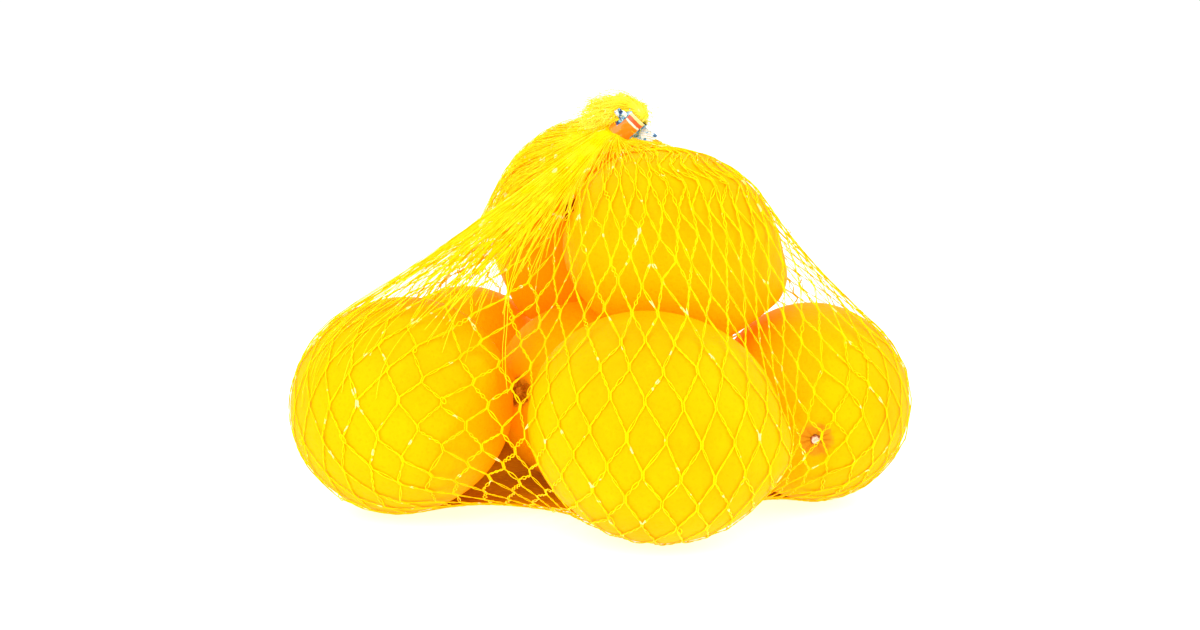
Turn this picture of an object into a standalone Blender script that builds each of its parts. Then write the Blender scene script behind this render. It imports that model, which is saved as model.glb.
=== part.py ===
import bpy
import numpy as np

for item in list(bpy.data.objects):
    bpy.data.objects.remove(item, do_unlink=True)

# Seven lemons lie in a net tube that is taped shut at the top and gathered underneath.
# Metres, +Z up, the front is -Y. The stem end of each lemon points along its heading
# (degrees from +X, towards +Y) and rise (degrees above level).
LEMONS = {
    "front": dict(centre=(0.0137, -0.0496, 0.0323), across=0.0628, along=0.0731, heading=163, rise=10),
    "left": dict(centre=(-0.0584, -0.0195, 0.0320), across=0.0619, along=0.0679, heading=147, rise=-25),
    "right": dict(centre=(0.0616, -0.0029, 0.0297), across=0.0576, along=0.0675, heading=266, rise=-9),
    "middle": dict(centre=(-0.0043, 0.0115, 0.0290), across=0.0562, along=0.0652, heading=226, rise=9),
    "back": dict(centre=(-0.0463, 0.0481, 0.0283), across=0.0536, along=0.0627, heading=58, rise=27),
    "top_right": dict(centre=(0.0197, -0.0089, 0.0761), across=0.0563, along=0.0674, heading=181, rise=20),
    "top_left": dict(centre=(-0.0040, 0.0502, 0.0766), across=0.0619, along=0.0707, heading=18, rise=53),
}
NIPPLE_HEIGHT = 0.0026
NIPPLE_SPREAD = 0.030
STEM_DIMPLE = 0.0016
STEM_SPREAD = 0.012
NET_CLEARANCE = 0.0007  # the net's own thickness over a lemon

# The neck: where the tape holds it, and which way it leans. The cut end of the net stands above
# the tape as a ruffled tuft, lower on its right side.
NECK_CENTRE = np.array([0.0069, 0.0124, 0.1103])
NECK_LEAN = np.array([0.72, -0.20, 0.66])
NECK_RADIUS = 0.0024
COLLAR_RADIUS = 0.0036
COLLAR_DROP = 0.0046  # from the middle of the tape down to where the strands start to spread
STEM_END = 0.0042
TUFT_CENTRE = np.array([0.0075, 0.0138, 0.1160])
TUFT_RISE = 0.0036
TUFT_HALF_WIDTH = 0.0067
TUFT_HALF_DEPTH = 0.0044
TUFT_TILT = 0.15
TUFT_RAGGED = 0.0004
TUFT_RINGS = (1.0, 0.85, 0.6, 0.35, 0.15)  # from the rim in to the neck, as shares of the rise
TUFT_CURL = 0.8  # how far the rim turns over, in half turns
RUFFLES = ((9, 0.14, 0.0), (5, 0.08, 1.0))  # waves round the rim: how many, how deep, where they start
RAGGED_TEETH = 7
WAIST = 0.9  # the tuft's root, as a share of the neck's radius
STEM_FOOT = 0.85  # where the neck's last ring sits, as a share of COLLAR_DROP

BOTTOM_KNOT = np.array([0.0050, -0.0061, 0.0])
BOTTOM_RADIUS = 0.0045

AROUND = 64
ROWS = 52
START_FULLNESS = 0.7  # below 1, the shape that the net is relaxed from is fuller than an ellipsoid
START_TAPER = 0.12  # share of the rows over which that shape runs in to each end
RELAX_STEPS = 1500
LENGTHWISE = 1.0
HOOPWISE_TOP = 0.03
HOOPWISE_BOTTOM = 0.9
HOOPWISE_FROM = 0.35  # the hoops start to tighten this far down, and are tight
HOOPWISE_OVER = 0.25  # this much further on
HELD_FROM = 0.10  # below this share of the rows a column keeps to its own upright plane
STEP_SHARE = 0.8
SAG_PER_STEP = 0.00001
PLEATS = 16
PLEAT_DEPTH = 0.0007
PLEAT_ROW = 4.0  # the pleats are deepest at this row and fade over as many more
PLEAT_FLATNESS = np.array([1, 1, 0.3])

RIGHT = np.array([1.0, 0, 0])
BACK = np.array([0, 1.0, 0])
UP = np.array([0, 0, 1.0])

# The tape: a flat loop round the neck, with its two ends stuck together as a flag.
TAPE_WIDTH = 0.0065
TAPE_THICKNESS = 0.0004
TAPE_LOOP_LONG = 0.0033
TAPE_LOOP_SHORT = 0.0032
TAPE_SEGMENTS = 28
FLAG_LENGTH = 0.0065
FLAG_LEAN = np.array([0.90, -0.25, -0.30])
FLAG_THICKNESS = 0.0007
FLAG_WAVE = 0.0005
FLAG_STEPS = 6
CORNER_LENGTH = 0.0023
FLAG_NARROWING = 0.72
CORNER_NARROWING = 0.45


def unit(vector):
    vector = np.asarray(vector, float)
    return vector / np.linalg.norm(vector)


def lemon_axis(lemon):
    heading, rise = np.radians([lemon["heading"], lemon["rise"]])
    return np.array([np.cos(heading) * np.cos(rise), np.sin(heading) * np.cos(rise), np.sin(rise)])


def lemon_radius(lemon, directions):
    """How far the skin is from the lemon's centre: an ellipsoid with a nipple and a stem dimple."""
    slant = directions @ lemon_axis(lemon)
    half_along = (lemon["along"] - NIPPLE_HEIGHT) / 2
    half_across = lemon["across"] / 2
    body = 1 / np.sqrt((slant / half_along) ** 2 + (1 - slant**2) / half_across**2)
    nipple = NIPPLE_HEIGHT * np.exp(-(1 + slant) / NIPPLE_SPREAD)
    dimple = STEM_DIMPLE * np.exp(-(1 - slant) / STEM_SPREAD)
    return body + nipple - dimple


def push_off_lemons(points, sideways):
    """Moves points out of the lemons, each within its own upright plane."""
    for lemon in LEMONS.values():
        offset = points - np.array(lemon["centre"])
        distance = np.linalg.norm(offset, axis=-1, keepdims=True)
        reach = lemon_radius(lemon, offset / distance)[..., None] + NET_CLEARANCE
        off_plane = (offset * sideways).sum(axis=-1, keepdims=True)
        in_plane = offset - off_plane * sideways
        slice_radius = np.sqrt(np.maximum(reach**2 - off_plane**2, 0))
        length = np.linalg.norm(in_plane, axis=-1, keepdims=True)
        grow = np.where(distance < reach, np.maximum(slice_radius / length - 1, 0), 0)
        points = points + in_plane * grow
    return points


def ring(centre, side, forward, half_side, half_forward):
    angles = np.arange(AROUND) * 2 * np.pi / AROUND
    return (
        centre
        + np.cos(angles)[:, None] * side * half_side
        + np.sin(angles)[:, None] * forward * half_forward
    )


def neck_frame():
    lean = unit(NECK_LEAN)
    forward = unit(np.cross(lean, RIGHT))
    side = np.cross(forward, lean)
    return lean, side, forward


def net_drape():
    """Rows of points from the collar to the bottom knot, pulled tight over the lemons."""
    lean, side, forward = neck_frame()
    collar = ring(NECK_CENTRE - lean * COLLAR_DROP, side, forward, COLLAR_RADIUS, COLLAR_RADIUS)
    bottom = ring(BOTTOM_KNOT, RIGHT, BACK, BOTTOM_RADIUS, BOTTOM_RADIUS)
    centres = np.array([lemon["centre"] for lemon in LEMONS.values()])
    middle = (centres.max(axis=0) + centres.min(axis=0)) / 2
    half = (centres.max(axis=0) - centres.min(axis=0)) / 2 + max(one["along"] for one in LEMONS.values()) / 2
    angles = np.arange(AROUND) * 2 * np.pi / AROUND
    rows = []
    for row in range(ROWS + 1):
        part = row / ROWS
        width = np.sin(np.pi * part) ** START_FULLNESS
        height = middle[2] + half[2] * np.cos(np.pi * part)
        hull = np.stack(
            [
                middle[0] + half[0] * width * np.cos(angles),
                middle[1] + half[1] * width * np.sin(angles),
                np.full(AROUND, max(height, 0)),
            ],
            axis=1,
        )
        keep = np.clip(part / START_TAPER, 0, 1) * np.clip((1 - part) / START_TAPER, 0, 1)
        ends = collar if part < 0.5 else bottom
        rows.append(ends * (1 - keep) + hull * keep)
    points = np.array(rows)
    parts = np.arange(1, ROWS)[:, None, None] / ROWS
    tightening = np.clip((parts - HOOPWISE_FROM) / HOOPWISE_OVER, 0, 1)
    hoopwise = HOOPWISE_TOP + (HOOPWISE_BOTTOM - HOOPWISE_TOP) * tightening
    hold = np.clip(parts / HELD_FROM, 0, 1)
    hub = points[0].mean(axis=0) * (1 - parts) + BOTTOM_KNOT * parts
    outward = np.stack([half[0] * np.cos(angles), half[1] * np.sin(angles)], axis=1)
    outward = outward / np.linalg.norm(outward, axis=1, keepdims=True)
    sideways = np.stack([-outward[:, 1], outward[:, 0], 0 * angles], axis=1)[None]
    for step in range(RELAX_STEPS):
        along = (points[:-2] + points[2:]) / 2
        inner = points[1:-1]
        hoop = (np.roll(inner, 1, axis=1) + np.roll(inner, -1, axis=1)) / 2
        goal = (LENGTHWISE * along + hoopwise * hoop) / (LENGTHWISE + hoopwise)
        inner = inner + (goal - inner) * STEP_SHARE
        drift = ((inner - hub) * sideways).sum(axis=-1, keepdims=True)
        inner = inner - drift * sideways * hold
        inner[..., 2] -= SAG_PER_STEP
        inner = push_off_lemons(inner, sideways)
        inner[..., 2] = np.maximum(inner[..., 2], 0)
        points[1:-1] = inner
    return points


def pleated(points):
    """Gathers that run down from the collar and fade out over the upper lemons."""
    angles = np.arange(AROUND) * 2 * np.pi / AROUND
    fade = np.exp(-((np.arange(len(points)) - PLEAT_ROW) / PLEAT_ROW) ** 2)
    wave = PLEAT_DEPTH * (1 + np.cos(PLEATS * angles)) / 2
    lean = unit(NECK_LEAN)
    away = points - (NECK_CENTRE - lean * 2 * COLLAR_DROP)
    away = away / np.linalg.norm(away, axis=-1, keepdims=True)
    return points + away * (fade[:, None] * wave[None])[..., None] * PLEAT_FLATNESS


def closed_tube(name, rows, first_point, last_point):
    """One closed mesh from rings of equal size, each end closed by a fan to a point."""
    count = len(rows[0])
    points = [tuple(point) for row in rows for point in row]
    faces = []
    for row in range(len(rows) - 1):
        for i in range(count):
            j = (i + 1) % count
            a, b = row * count + i, row * count + j
            faces.append((a, a + count, b + count, b))
    points.append(tuple(first_point))
    points.append(tuple(last_point))
    start, end = len(points) - 2, len(points) - 1
    last = (len(rows) - 1) * count
    for i in range(count):
        j = (i + 1) % count
        faces.append((start, i, j))
        faces.append((end, last + j, last + i))
    mesh = bpy.data.meshes.new(name)
    mesh.from_pydata(points, [], faces)
    mesh.validate()
    body = bpy.data.objects.new(name, mesh)
    bpy.context.collection.objects.link(body)
    return body


def finish(body, colour, roughness):
    material = bpy.data.materials.new(body.name)
    material.use_nodes = True
    shader = material.node_tree.nodes["Principled BSDF"]
    shader.inputs["Base Color"].default_value = (*colour, 1)
    shader.inputs["Roughness"].default_value = roughness
    shader.inputs["Metallic"].default_value = 0
    body.data.materials.append(material)


def make_net():
    """The filled net with its neck and the ruffled end that stands above the tape."""
    lean, side, forward = neck_frame()
    angles = np.arange(AROUND) * 2 * np.pi / AROUND
    ruffle = 1 + sum(depth * np.cos(waves * angles + start) for waves, depth, start in RUFFLES)
    tuft = []
    for part in TUFT_RINGS:
        spread = np.sin(part * np.pi * TUFT_CURL)
        half_deep = max(TUFT_HALF_DEPTH * spread, NECK_RADIUS * WAIST)
        outline = ring(np.zeros(3), RIGHT, BACK, TUFT_HALF_WIDTH * spread, half_deep)
        outline = outline * (1 + (ruffle - 1) * spread)[:, None]
        ragged = TUFT_RAGGED * part * np.cos(RAGGED_TEETH * angles)
        lift = TUFT_RISE * part - TUFT_TILT * outline[:, 0] + ragged
        tuft.append(TUFT_CENTRE + outline + UP * lift[:, None])
    stem = [
        ring(NECK_CENTRE + lean * along, side, forward, NECK_RADIUS, NECK_RADIUS)
        for along in (STEM_END, 0.0, -COLLAR_DROP * STEM_FOOT)
    ]
    drape = pleated(net_drape())
    drape[..., 2] = np.maximum(drape[..., 2], 0)
    body = closed_tube("net_bag", tuft + stem + list(drape), tuft[0].mean(axis=0), BOTTOM_KNOT)
    finish(body, (0.95, 0.72, 0.02), 0.5)


def tape_section(angle, lean, side, forward):
    """The four corners of the loop's wall at one angle: inner and outer, lower and upper edge."""
    out = side * np.cos(angle) * TAPE_LOOP_LONG + forward * np.sin(angle) * TAPE_LOOP_SHORT
    wall = unit(out) * TAPE_THICKNESS
    edge = lean * TAPE_WIDTH / 2
    return [NECK_CENTRE + out + wall * far + edge * end for far in (0, 1) for end in (-1, 1)]


def add_tab(points, faces, start, way, across, length, shrink, wave):
    """A strip that grows out of one short stretch of the loop's outer wall."""
    ring_now = start
    corners = [points[i] for i in start]
    for step in range(1, FLAG_STEPS + 1):
        part = step / FLAG_STEPS
        sway = across * wave * np.sin(part * 2 * np.pi)
        centre = sum(corners) / 4
        narrow = 1 - (1 - shrink) * part
        ring_next = []
        for corner in corners:
            points.append(centre + (corner - centre) * narrow + way * length * part + sway)
            ring_next.append(len(points) - 1)
        for i in range(4):
            j = (i + 1) % 4
            faces.append((ring_now[i], ring_now[j], ring_next[j], ring_next[i]))
        ring_now = ring_next
    faces.append(tuple(ring_now))


def make_tape():
    """The printed film tape: a loop round the neck, its stuck ends and one loose corner."""
    lean, side, forward = neck_frame()
    half_gap = FLAG_THICKNESS / 2 / TAPE_LOOP_LONG
    half_turn = np.linspace(half_gap, np.pi - half_gap, TAPE_SEGMENTS // 2)
    angles = np.concatenate([half_turn, half_turn + np.pi])
    points = []
    for angle in angles:
        points.extend(tape_section(angle, lean, side, forward))
    faces = []
    count = len(angles)
    for i in range(count):
        a, b = 4 * i, 4 * ((i + 1) % count)
        faces.append((a, a + 1, b + 1, b))
        faces.append((a + 1, a + 3, b + 3, b + 1))
        faces.append((a + 2, a, b, b + 2))
        outer = (a + 2, b + 2, b + 3, a + 3)
        if i == count - 1:
            add_tab(points, faces, outer, unit(FLAG_LEAN), forward, FLAG_LENGTH, FLAG_NARROWING, FLAG_WAVE)
        elif i == count // 2 - 1:
            add_tab(points, faces, outer, -side, forward, CORNER_LENGTH, CORNER_NARROWING, FLAG_WAVE)
        else:
            faces.append(outer)
    mesh = bpy.data.meshes.new("neck_tape")
    mesh.from_pydata([tuple(point) for point in points], [], faces)
    mesh.validate()
    body = bpy.data.objects.new("neck_tape", mesh)
    bpy.context.collection.objects.link(body)
    finish(body, (0.9, 0.45, 0.1), 0.3)


make_net()
make_tape()
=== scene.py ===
import math

import bpy
import numpy as np
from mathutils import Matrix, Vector


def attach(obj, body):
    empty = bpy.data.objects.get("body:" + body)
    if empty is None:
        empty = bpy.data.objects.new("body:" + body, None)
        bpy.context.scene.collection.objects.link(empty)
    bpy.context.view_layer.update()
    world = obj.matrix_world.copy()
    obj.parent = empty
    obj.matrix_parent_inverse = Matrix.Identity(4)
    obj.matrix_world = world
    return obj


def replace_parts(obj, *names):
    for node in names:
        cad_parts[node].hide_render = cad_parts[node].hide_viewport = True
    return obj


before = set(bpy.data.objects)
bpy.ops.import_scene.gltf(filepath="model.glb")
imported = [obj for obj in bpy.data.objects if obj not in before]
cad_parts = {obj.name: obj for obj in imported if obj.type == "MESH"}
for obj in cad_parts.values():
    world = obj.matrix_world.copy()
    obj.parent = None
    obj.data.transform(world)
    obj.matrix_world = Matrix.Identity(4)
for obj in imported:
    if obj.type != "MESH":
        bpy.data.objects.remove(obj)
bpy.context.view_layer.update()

right = np.array([1.0, 0.0, 0.0])
back = np.array([0.0, 1.0, 0.0])
up = np.array([0.0, 0.0, 1.0])


def unit(vectors):
    vectors = np.asarray(vectors, float)
    return vectors / np.maximum(np.linalg.norm(vectors, axis=-1, keepdims=True), 1e-12)


def fullTurn(count):
    return np.arange(count) * 2 * np.pi / count


def makePiece(name, points, faces, finish):
    # a smooth mesh piece that rides on the bag
    mesh = bpy.data.meshes.new(name)
    mesh.from_pydata(np.asarray(points).tolist(), [], [tuple(face) for face in faces])
    mesh.validate()
    mesh.materials.append(finish)
    mesh.polygons.foreach_set("use_smooth", np.ones(len(mesh.polygons), bool))
    piece = bpy.data.objects.new(name, mesh)
    bpy.context.scene.collection.objects.link(piece)
    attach(piece, "root")
    return piece


def closedFaces(rows, around):
    # rows of quads with a fan at each end; the two middle points come after the rows
    faces = []
    for row in range(rows - 1):
        for i in range(around):
            j = (i + 1) % around
            faces.append((row * around + i, (row + 1) * around + i, (row + 1) * around + j, row * around + j))
    first, last = rows * around, rows * around + 1
    for i in range(around):
        j = (i + 1) % around
        faces.append((first, i, j))
        faces.append((last, (rows - 1) * around + j, (rows - 1) * around + i))
    return faces


def sheetSolid(name, grid, thick, finish, closed=False):
    # a thin film with two faces and real edges, from a grid of points
    rows, columns = grid.shape[:2]
    if closed:
        acrossWay = np.roll(grid, -1, axis=1) - np.roll(grid, 1, axis=1)
    else:
        acrossWay = np.gradient(grid, axis=1)
    half = unit(np.cross(np.gradient(grid, axis=0), acrossWay)) * thick / 2
    points = np.concatenate([(grid + half).reshape(-1, 3), (grid - half).reshape(-1, 3)])
    under = rows * columns
    faces = []
    spans = columns if closed else columns - 1
    for j in range(rows - 1):
        for i in range(spans):
            a, b = j * columns + i, j * columns + (i + 1) % columns
            faces.append((a, a + columns, b + columns, b))
            faces.append((under + a, under + b, under + b + columns, under + a + columns))
    for i in range(spans):
        a, b = i, (i + 1) % columns
        faces.append((a, b, under + b, under + a))
        a, b = a + (rows - 1) * columns, b + (rows - 1) * columns
        faces.append((b, a, under + a, under + b))
    if not closed:
        for j in range(rows - 1):
            a, b = j * columns, (j + 1) * columns
            faces.append((b, a, under + a, under + b))
            a, b = a + columns - 1, b + columns - 1
            faces.append((a, b, under + b, under + a))
    return makePiece(name, points, faces, finish)


class Wire:
    # one output socket of a finish, so that shader sums read like sums
    def __init__(self, finish, socket):
        self.finish = finish
        self.socket = socket

    def __add__(self, other):
        return self.finish.maths("ADD", self, other)

    def __radd__(self, other):
        return self.finish.maths("ADD", other, self)

    def __sub__(self, other):
        return self.finish.maths("SUBTRACT", self, other)

    def __mul__(self, other):
        return self.finish.maths("MULTIPLY", self, other)

    def __truediv__(self, other):
        return self.finish.maths("DIVIDE", self, other)


class Finish:
    # one material: constants sit on the shader's own sockets, and what varies is fed to them
    def __init__(self, name, **constants):
        self.material = bpy.data.materials.new(name)
        self.material.use_nodes = True
        self.tree = self.material.node_tree
        self.shader = self.tree.nodes["Principled BSDF"]
        for socket, number in constants.items():
            self.shader.inputs[socket.replace("_", " ")].default_value = number

    def add(self, kind, settings=None, inputs=None, output=0):
        node = self.tree.nodes.new(kind)
        for key, value in (settings or {}).items():
            setattr(node, key, value)
        for key, value in (inputs or {}).items():
            if isinstance(value, Wire):
                self.tree.links.new(value.socket, node.inputs[key])
            else:
                node.inputs[key].default_value = value
        return Wire(self, node.outputs[output])

    def maths(self, operation, first, second=0.0):
        return self.add("ShaderNodeMath", {"operation": operation}, {0: first, 1: second})

    def vector(self, operation, first, second=(0.0, 0.0, 0.0), output=0):
        return self.add("ShaderNodeVectorMath", {"operation": operation}, {0: first, 1: second}, output)

    def between(self, value, low, high):
        # 0 below low, 1 above high, smooth in between
        inputs = {"Value": value, "From Min": low, "From Max": high}
        return self.add("ShaderNodeMapRange", {"interpolation_type": "SMOOTHSTEP"}, inputs)

    def mix(self, factor, first, second):
        ends = [(*end, 1) if isinstance(end, tuple) else end for end in (first, second)]
        return self.add("ShaderNodeMix", {"data_type": "RGBA"}, {0: factor, 6: ends[0], 7: ends[1]}, output=2)

    def noise(self, place, scale, detail=2.0, rough=0.5):
        inputs = {"Vector": place, "Scale": scale, "Detail": detail, "Roughness": rough}
        return self.add("ShaderNodeTexNoise", None, inputs)

    def place(self, shift=(0.0, 0.0, 0.0)):
        # the piece's own coordinates, moved so that two pieces don't look alike
        own = self.add("ShaderNodeTexCoord", output=3)
        return self.vector("ADD", own, shift)

    def feed(self, socket, wire):
        self.tree.links.new(wire.socket, self.shader.inputs[socket])

    def bump(self, height, strength, distance):
        inputs = {"Height": height, "Strength": strength, "Distance": distance}
        self.feed("Normal", self.add("ShaderNodeBump", None, inputs))


# each lemon's stem end points along its heading, in degrees from +X to +Y, and its rise
lemons = {
    "front": dict(centre=(0.0137, -0.0496, 0.0323), across=0.0628, along=0.0731, heading=163, rise=10),
    "left": dict(centre=(-0.0584, -0.0195, 0.0320), across=0.0619, along=0.0679, heading=147, rise=-25),
    "right": dict(centre=(0.0616, -0.0029, 0.0297), across=0.0576, along=0.0675, heading=266, rise=-9),
    "middle": dict(centre=(-0.0043, 0.0115, 0.0290), across=0.0562, along=0.0652, heading=226, rise=9),
    "back": dict(centre=(-0.0463, 0.0481, 0.0283), across=0.0536, along=0.0627, heading=58, rise=27),
    "topRight": dict(centre=(0.0197, -0.0089, 0.0761), across=0.0563, along=0.0674, heading=181, rise=20),
    "topLeft": dict(centre=(-0.0040, 0.0502, 0.0766), across=0.0619, along=0.0707, heading=18, rise=53),
}
rind = dict(
    nippleHeight=0.0026, nippleSpread=0.030, stemDimple=0.0016, stemSpread=0.012,
    lump=0.00064, lumpWaves=9, lumpSlow=2.0, lumpFast=5.5,
    creases=9, creaseDepth=0.000528, creaseSpread=0.030, creaseStart=0.0015,
    tipFold=0.00035, tipSpread=0.030, tipStart=0.004,
    around=128, along=112, crowding=0.115, floorGap=0.00045,
    bright=(1.0, 0.455, 0.0), warm=(1.0, 0.38, 0.0), light=(1.0, 0.51, 0.0), deep=(0.95, 0.31, 0.0),
    stemBrown=(0.48, 0.22, 0.01), ringEdge=0.9835, ringFull=0.9925, ringRagged=0.016,
    # glow: painted light, the rind gives off its own colour so that its shaded sides come out lighter
    broad=28, mottle=240, ragged=420, specks=900, shine=0.015, glow=0.13,
    pore=0.00085, poreDepth=0.00011, poreStrength=0.55,
)


def lemonAxes(lemon):
    heading, rise = np.radians([lemon["heading"], lemon["rise"]])
    axis = np.array([np.cos(heading) * np.cos(rise), np.sin(heading) * np.cos(rise), np.sin(rise)])
    side = unit(np.cross(up, axis))
    return axis, side, np.cross(axis, side)


def lemonWaves(lemon):
    # low swells that make each fruit a little uneven
    chance = np.random.default_rng(int(lemon["heading"] * 7 + lemon["across"] * 1e5))
    ways = unit(chance.normal(size=(rind["lumpWaves"], 3)))
    speeds = chance.uniform(rind["lumpSlow"], rind["lumpFast"], (rind["lumpWaves"], 1))
    return ways * speeds, chance.uniform(0, 6.28, rind["lumpWaves"])


def nearPole(distance, spread, start):
    # fades away from a pole, and is 0 at the pole itself
    return np.exp(-distance / spread) * (1 - np.exp(-distance / start))


def lemonRadius(lemon, directions, lumpy=True):
    # how far the skin lies from the centre: an oval with a nipple at the tip and a dimple at the stem
    axis, side, top = lemonAxes(lemon)
    slant = directions @ axis
    halfAlong = (lemon["along"] - rind["nippleHeight"]) / 2
    halfAcross = lemon["across"] / 2
    body = 1 / np.sqrt((slant / halfAlong) ** 2 + (1 - slant**2) / halfAcross**2)
    nipple = rind["nippleHeight"] * np.exp(-(1 + slant) / rind["nippleSpread"])
    dimple = rind["stemDimple"] * np.exp(-(1 - slant) / rind["stemSpread"])
    if not lumpy:
        return body + nipple - dimple
    ways, starts = lemonWaves(lemon)
    lump = np.sin(directions @ ways.T + starts).mean(axis=-1) * rind["lump"]
    turn = np.arctan2(directions @ top, directions @ side)
    nearStem = nearPole(1 - slant, rind["creaseSpread"], rind["creaseStart"])
    crease = (0.5 + 0.5 * np.cos(rind["creases"] * turn + 2 * np.sin(2 * turn + starts[0]))) ** 3
    nearTip = nearPole(1 + slant, rind["tipSpread"], rind["tipStart"])
    fold = np.cos(5 * turn + starts[1]) * 0.4 + np.cos(3 * turn + starts[2]) * 0.6
    ridges = nearStem * crease * rind["creaseDepth"] + nearTip * fold * rind["tipFold"]
    return body + nipple - dimple + lump - ridges


def rindFinish(name, lemon, number):
    finish = Finish(name, Specular_IOR_Level=rind["shine"], Emission_Strength=rind["glow"])
    place = finish.place((number * 0.31, number * 0.17, number * 0.53))
    fromCentre = finish.place(tuple(-part for part in lemon["centre"]))
    outward = finish.vector("NORMALIZE", fromCentre)
    slant = finish.vector("DOT_PRODUCT", outward, tuple(lemonAxes(lemon)[0]), output=1)
    broad = finish.noise(place, rind["broad"], 3)
    mottle = finish.noise(place, rind["mottle"], 3, 0.6)
    pores = finish.add(
        "ShaderNodeTexVoronoi", {"feature": "SMOOTH_F1"},
        {"Vector": place, "Scale": 1 / rind["pore"] / 1.6, "Smoothness": 0.6},
    )
    skin = finish.mix(finish.between(broad, 0.35, 0.75), rind["bright"], rind["warm"])
    skin = finish.mix(finish.between(mottle, 0.45, 0.8) * 0.35, skin, rind["light"])
    skin = finish.mix(finish.between(pores, 0.5, 0.05) * 0.22, skin, rind["deep"])
    ragged = finish.noise(place, rind["ragged"], 4, 0.65)
    stemRing = finish.between(slant + (ragged - 0.5) * rind["ringRagged"], rind["ringEdge"], rind["ringFull"])
    skin = finish.mix(stemRing * 0.75, skin, rind["stemBrown"])
    speckled = finish.between(finish.noise(place, rind["specks"], 2), 0.68, 0.74) * 0.25
    skin = finish.mix(speckled, skin, rind["deep"])
    finish.feed("Base Color", skin)
    # painted light: the rind glows with its own colour, which lifts the shade between the lemons
    finish.feed("Emission Color", skin)
    finish.feed("Roughness", 0.40 + broad * 0.12)
    height = finish.between(pores, 0.05, 0.55) + mottle * 0.5
    finish.bump(height, rind["poreStrength"], rind["poreDepth"])
    return finish.material


def makeLemon(name, lemon, number):
    # rows run from the stem to the tip, closer together at both ends
    steps = np.linspace(0, 1, rind["along"] + 1)
    polar = np.pi * (steps - rind["crowding"] * np.sin(2 * np.pi * steps))
    turns = fullTurn(rind["around"])
    polar = polar[1:-1]
    axis, side, top = lemonAxes(lemon)
    sideways = np.cos(turns)[None, :, None] * side + np.sin(turns)[None, :, None] * top
    directions = np.cos(polar)[:, None, None] * axis + np.sin(polar)[:, None, None] * sideways
    ways = np.concatenate([directions.reshape(-1, 3), [axis, -axis]])
    reach = lemonRadius(lemon, ways)
    centre, gap = np.array(lemon["centre"]), rind["floorGap"]
    heights = centre[2] + ways[:, 2] * reach
    reach = np.where(heights < gap, (gap - centre[2]) / np.minimum(ways[:, 2], -1e-6), reach)
    points = centre + ways * reach[:, None]
    faces = closedFaces(len(polar), rind["around"])
    finish = rindFinish("rind_" + name, lemon, number)
    return makePiece("lemon_" + name, points, faces, finish)


print("lemons")
lemonPieces = {
    name: makeLemon(name, lemon, number) for number, (name, lemon) in enumerate(lemons.items())
}
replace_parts(lemonPieces["front"], "net_bag")


# a small lobed button in each lemon's dimple
plainStem = dict(lobes=5, star=0.22, tall=0.0007, scar=0.45, pale=(0.60, 0.45, 0.25), rim=(0.24, 0.14, 0.03))
stems = {
    "front": dict(plainStem, size=0.0021, pale=(0.62, 0.45, 0.25)),
    "left": dict(plainStem, size=0.0022, star=0.25, pale=(0.55, 0.42, 0.22), rim=(0.26, 0.16, 0.03)),
    "right": dict(
        size=0.0015, lobes=6, star=0.12, tall=0.0010, scar=0.66,
        pale=(0.95, 0.78, 0.66), rim=(0.30, 0.10, 0.02),
    ),
    "middle": dict(
        size=0.0033, lobes=5, star=0.38, tall=0.0009, scar=0.30, pale=(0.80, 0.46, 0.02), rim=(0.46, 0.18, 0.0),
    ),
    "back": dict(plainStem, size=0.0022, star=0.2, pale=(0.55, 0.42, 0.22), rim=(0.26, 0.16, 0.03)),
    # The top right button's dark red is partly its own colour and partly painted shade of the hollow between the
    # two top lemons where it sits.
    "topRight": dict(
        size=0.0032, lobes=5, star=0.25, tall=0.0024, scar=0.35, pale=(0.55, 0.10, 0.0), rim=(0.36, 0.05, 0.0),
    ),
    "topLeft": dict(plainStem, size=0.0021),
}
button = dict(
    around=60, rings=14, shine=0.06, grain=2200, ragged=0.35, darker=0.45, grainDepth=0.00015,
    oval=0.06, round=2.2, domed=0.85, scarHeight=0.22, scarWidth=0.10, ripple=0.06, seat=0.00005, depth=0.0007,
)


def stemFinish(name, stem, middle):
    finish = Finish(name, Roughness=0.7, Specular_IOR_Level=button["shine"])
    place = finish.place(tuple(-part for part in middle))
    away = finish.vector("LENGTH", place, output=1)
    woody = finish.noise(place, button["grain"], 4, 0.65)
    reach = away / stem["size"] + (woody - 0.5) * button["ragged"]
    colour = finish.mix(finish.between(reach, stem["scar"], stem["scar"] + 0.22), stem["pale"], stem["rim"])
    darker = tuple(part * button["darker"] for part in stem["rim"])
    colour = finish.mix(finish.between(woody, 0.52, 0.70) * 0.6, colour, darker)
    colour = finish.mix(finish.between(reach, 0.12, 0.0) * 0.5, colour, stem["rim"])
    finish.feed("Base Color", colour)
    finish.bump(woody, 0.6, button["grainDepth"])
    return finish.material


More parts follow.
